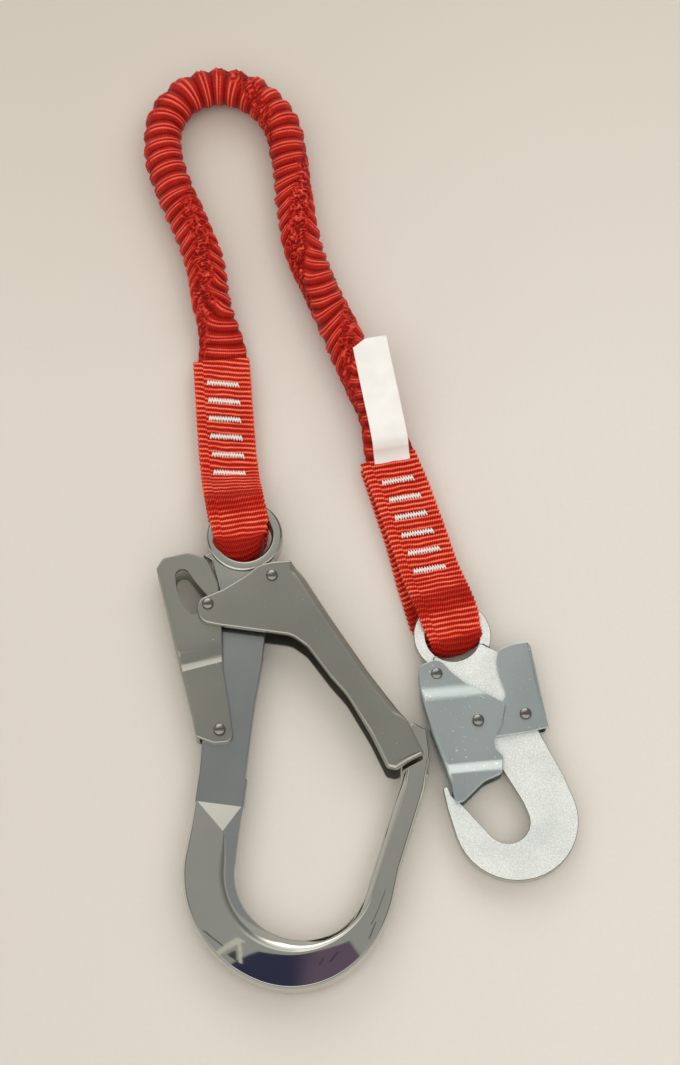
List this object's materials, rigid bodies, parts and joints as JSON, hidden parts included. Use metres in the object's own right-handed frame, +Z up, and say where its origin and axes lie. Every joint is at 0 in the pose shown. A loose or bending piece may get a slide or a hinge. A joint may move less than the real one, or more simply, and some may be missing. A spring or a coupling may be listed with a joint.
{
  "type": "elastic lanyard",
  "caption": "Elastic lanyard: pleated webbing sleeve over a rubber core, with a large scaffold hook on one end and a small snap hook on the other.",
  "frame": {"origin": "centre of the lanyard's footprint, measured without the free sleeve, on the surface that it lies on", "axes": "+Z up off the surface; +Y from the hooks towards the bend of the sleeve; +X from the scaffold hook to the snap hook"},
  "size_m": [0.2115, 0.4862, 0.0228],
  "materials": {
    "webbing": "matt woven webbing",
    "thread": "matt thread",
    "rubber": "matt",
    "label": "matt woven tape",
    "forged_steel": "polished and plated",
    "zinc_sheet": "dull zinc",
    "zinc_plate": "speckled zinc",
    "grey_sheet": "satin zinc",
    "rivet_steel": "satin",
    "spring_steel": "satin"
  },
  "bodies": {
    "lanyard": {"elastic_sleeve": "webbing", "elastic_core": "rubber", "scaffold_strap": "webbing", "snap_strap": "webbing", "label_tag": "label", "scaffold_bartack_1": "thread", "scaffold_bartack_2": "thread", "scaffold_bartack_3": "thread", "scaffold_bartack_4": "thread", "scaffold_bartack_5": "thread", "scaffold_bartack_6": "thread", "snap_bartack_1": "thread", "snap_bartack_2": "thread", "snap_bartack_3": "thread", "snap_bartack_4": "thread", "snap_bartack_5": "thread", "snap_bartack_6": "thread"},
    "scaffold_hook": {"scaffold_loop": "webbing", "scaffold_hook_body": "forged_steel", "scaffold_gate_pivot": "rivet_steel", "scaffold_gate_bush": "rivet_steel", "scaffold_latch_pivot": "rivet_steel"},
    "scaffold_gate": {"scaffold_gate": "zinc_sheet", "scaffold_lock_pin": "rivet_steel", "scaffold_gate_spring": "spring_steel"},
    "scaffold_latch": {"scaffold_latch": "zinc_sheet", "scaffold_latch_spring": "spring_steel"},
    "snap_hook": {"snap_loop": "webbing", "snap_hook_body": "zinc_plate", "snap_gate_pivot": "rivet_steel", "snap_lever_pivot": "rivet_steel"},
    "snap_gate": {"snap_gate": "grey_sheet", "snap_lock_pin": "rivet_steel", "snap_gate_spring": "spring_steel"},
    "snap_lever": {"snap_lever": "grey_sheet", "snap_lever_spring": "spring_steel"}
  },
  "joints": [
    {"name": "scaffold_hook_swing", "type": "hinge", "parent": "lanyard", "child": "scaffold_hook", "pos_m": [-0.06323, 0.08463, 0.005], "axis": [-0.9957, -0.0924, 0], "range_deg": [-70, 70]},
    {"name": "scaffold_gate_open", "type": "hinge", "parent": "scaffold_hook", "child": "scaffold_gate", "pos_m": [-0.04316, 0.03396, 0.0106], "axis": [0, 0, -1], "range_deg": [0, 30], "stiffness_Nm_per_rad": 0.12, "springref_deg": -20.05},
    {"name": "scaffold_latch_squeeze", "type": "hinge", "parent": "scaffold_hook", "child": "scaffold_latch", "pos_m": [-0.06659, -0.04152, 0.0106], "axis": [0, 0, -1], "range_deg": [0, 7]},
    {"name": "snap_hook_swing", "type": "hinge", "parent": "lanyard", "child": "snap_hook", "pos_m": [0.0347, 0.03438, 0.005], "axis": [-0.9563, -0.2924, 0], "range_deg": [-70, 70]},
    {"name": "snap_gate_open", "type": "hinge", "parent": "snap_hook", "child": "snap_gate", "pos_m": [0.03444, -0.01296, 0.0081], "axis": [0, 0, 1], "range_deg": [0, 18], "stiffness_Nm_per_rad": 0.06, "springref_deg": -20.05},
    {"name": "snap_lever_squeeze", "type": "hinge", "parent": "snap_hook", "child": "snap_lever", "pos_m": [0.07548, -0.03262, 0.0081], "axis": [0, 0, 1], "range_deg": [0, 10]}
  ],
  "couplings": [
    {"joint": "scaffold_latch_squeeze", "follows": "scaffold_gate_open", "ratio": 0.2333},
    {"joint": "snap_lever_squeeze", "follows": "snap_gate_open", "ratio": 0.5555}
  ]
}
